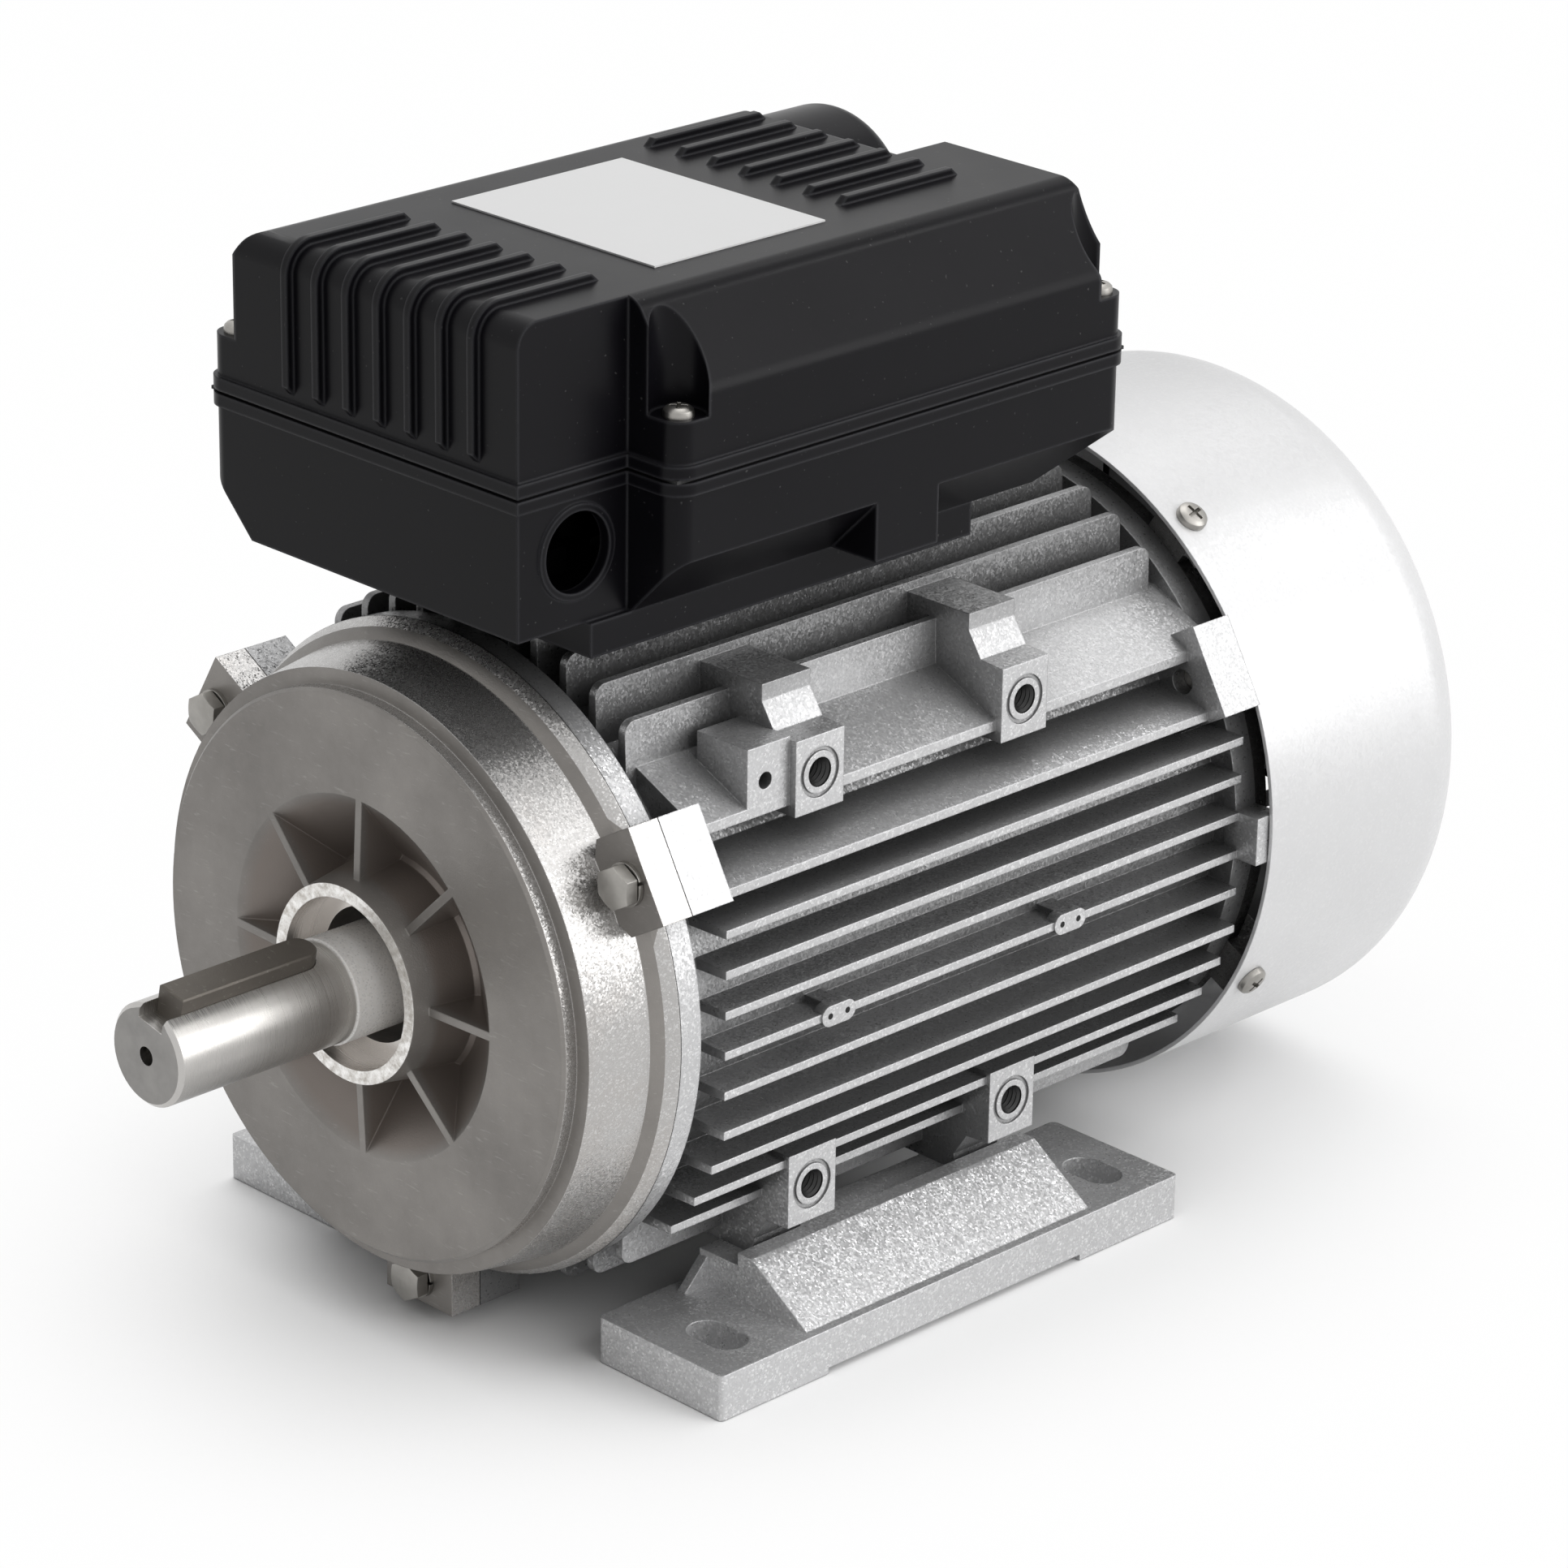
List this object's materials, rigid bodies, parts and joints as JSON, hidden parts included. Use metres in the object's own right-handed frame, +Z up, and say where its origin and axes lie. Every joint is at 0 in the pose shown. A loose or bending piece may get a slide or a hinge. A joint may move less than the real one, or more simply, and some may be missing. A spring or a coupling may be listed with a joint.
{
  "type": "electric motor",
  "caption": "Finned foot-mounted single-phase motor with keyed drive shaft, black capacitor terminal box on top, white fan cover behind, and start switch inside.",
  "frame": {"origin": "centre of the foot bolt pattern on the mounting surface", "axes": "+Z up, shaft along Y with the drive end towards -Y, cable entry side at +X"},
  "size_m": [0.171, 0.3507, 0.2533],
  "materials": {
    "cast_aluminium": "blasted satin",
    "shield_aluminium": "blasted, machined face",
    "zinc_steel": "zinc plated",
    "bearing_steel": "ground",
    "shaft_steel": "turned",
    "key_steel": "dark drawn",
    "lamination": "varnished sheet",
    "copper": "enamelled wire",
    "cage_aluminium": "cast",
    "cover_paint": "satin white",
    "black_plastic": "satin",
    "seal_rubber": "matt",
    "label_white": "matt",
    "brass_parts": "plain",
    "capacitor_white": "plain",
    "switch_board": "laminate"
  },
  "bodies": {
    "frame": {"stator_housing": "cast_aluminium", "front_end_shield": "shield_aluminium", "front_shield_bolts": "zinc_steel", "front_shield_washers": "zinc_steel", "bearing_outer_rings": "bearing_steel", "stator_core": "lamination", "main_winding": "copper", "start_winding": "copper", "rear_end_shield": "cast_aluminium", "rear_shield_bolts": "zinc_steel", "rear_shield_washers": "zinc_steel", "wave_washer": "bearing_steel", "fan_cover": "cover_paint", "fan_cover_screws": "zinc_steel", "right_foot": "cast_aluminium", "left_foot": "cast_aluminium", "foot_screws": "zinc_steel", "terminal_box_base": "black_plastic", "base_gasket": "seal_rubber", "base_screws": "zinc_steel", "terminal_box_lid": "black_plastic", "lid_gasket": "seal_rubber", "lid_screws": "zinc_steel", "label_plate": "label_white", "terminal_board": "black_plastic", "terminal_studs": "brass_parts", "terminal_links": "brass_parts", "terminal_nuts": "brass_parts", "start_capacitor": "capacitor_white", "run_capacitor": "capacitor_white", "capacitor_cradles": "black_plastic", "lead_sleeve": "black_plastic", "start_switch_plate": "switch_board"},
    "rotor": {"shaft": "shaft_steel", "shaft_key": "key_steel", "rotor_core": "lamination", "rotor_cage": "cage_aluminium", "bearing_inner_rings": "bearing_steel", "fan": "black_plastic", "fan_clip": "bearing_steel", "governor_hub": "shaft_steel"},
    "collar": {"governor_collar": "black_plastic"},
    "flyweight_right": {"flyweight_right": "shaft_steel"},
    "flyweight_left": {"flyweight_left": "shaft_steel"},
    "switch_arm": {"switch_arm": "brass_parts"}
  },
  "joints": [
    {"name": "rotor_spin", "type": "hinge", "parent": "frame", "child": "rotor", "pos_m": [0, 0, 0.09], "axis": [0, 1, 0], "continuous": true},
    {"name": "collar_slide", "type": "slide", "parent": "rotor", "child": "collar", "axis": [0, -1, 0], "range_m": [0, 0.003], "stiffness_N_per_m": 400, "springref_m": -0.002},
    {"name": "flyweight_right_swing", "type": "hinge", "parent": "rotor", "child": "flyweight_right", "pos_m": [0.023, 0.0852, 0.09], "axis": [0, 0, -1], "range_deg": [0, 12.2]},
    {"name": "flyweight_left_swing", "type": "hinge", "parent": "rotor", "child": "flyweight_left", "pos_m": [-0.023, 0.0852, 0.09], "axis": [0, 0, 1], "range_deg": [0, 12.2]},
    {"name": "switch_arm_tilt", "type": "hinge", "parent": "frame", "child": "switch_arm", "pos_m": [0.04, 0.1074, 0.09], "axis": [0, 0, 1], "range_deg": [0, 8.8]}
  ],
  "couplings": [
    {"joint": "flyweight_right_swing", "follows": "collar_slide", "rad_per_m": 69.8},
    {"joint": "flyweight_left_swing", "follows": "collar_slide", "rad_per_m": 69.8},
    {"joint": "switch_arm_tilt", "follows": "collar_slide", "rad_per_m": 50}
  ]
}
